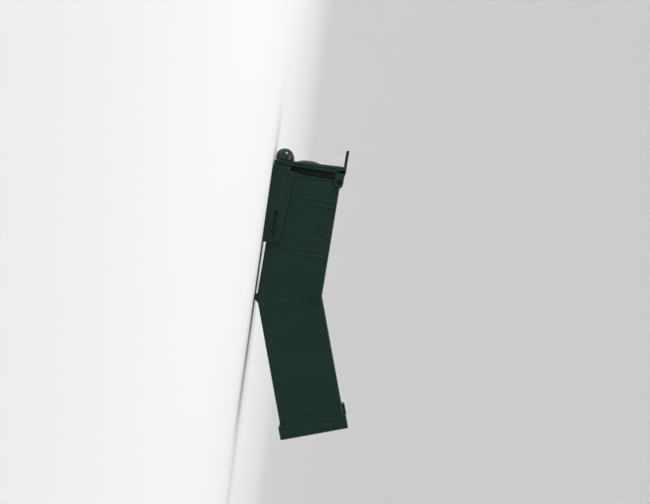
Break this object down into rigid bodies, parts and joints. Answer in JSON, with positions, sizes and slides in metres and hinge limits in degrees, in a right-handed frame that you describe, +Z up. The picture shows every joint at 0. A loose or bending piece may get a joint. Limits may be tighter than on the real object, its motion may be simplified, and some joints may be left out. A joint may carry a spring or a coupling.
{
  "type": "live catch mouse trap",
  "caption": "Bent square-tunnel live catch trap that tips shut, with a hinged door on stilts at the front and a pull-off bait cap at the rear.",
  "frame": {"origin": "on the floor, under the middle of the trap's bounding box, with the trap standing on its fulcrum rib and its stilts", "axes": "+X from the door towards the end cap, +Y to the trap's right side, +Z up"},
  "size_m": [0.1666, 0.0412, 0.0629],
  "materials": {
    "shell_green": "satin moulded",
    "door_green": "satin moulded",
    "knob_green": "polished",
    "cap_green": "satin moulded",
    "pin_green": "satin moulded"
  },
  "bodies": {
    "tunnel": {"left_shell": "shell_green", "right_shell": "shell_green"},
    "door": {"door_panel": "door_green", "left_stilt": "door_green", "right_stilt": "door_green", "left_stilt_knob": "knob_green", "right_stilt_knob": "knob_green", "left_hinge_pin": "pin_green", "right_hinge_pin": "pin_green"},
    "cap": {"end_cap": "cap_green"}
  },
  "joints": [
    {"name": "door_hinge", "type": "hinge", "parent": "tunnel", "child": "door", "pos_m": [-0.0644, 0, 0.03804], "axis": [0, 1, 0], "range_deg": [0, 100]},
    {"name": "cap_slide", "type": "slide", "parent": "tunnel", "child": "cap", "axis": [0.9483, 0, 0.3173], "range_m": [0, 0.02]}
  ]
}
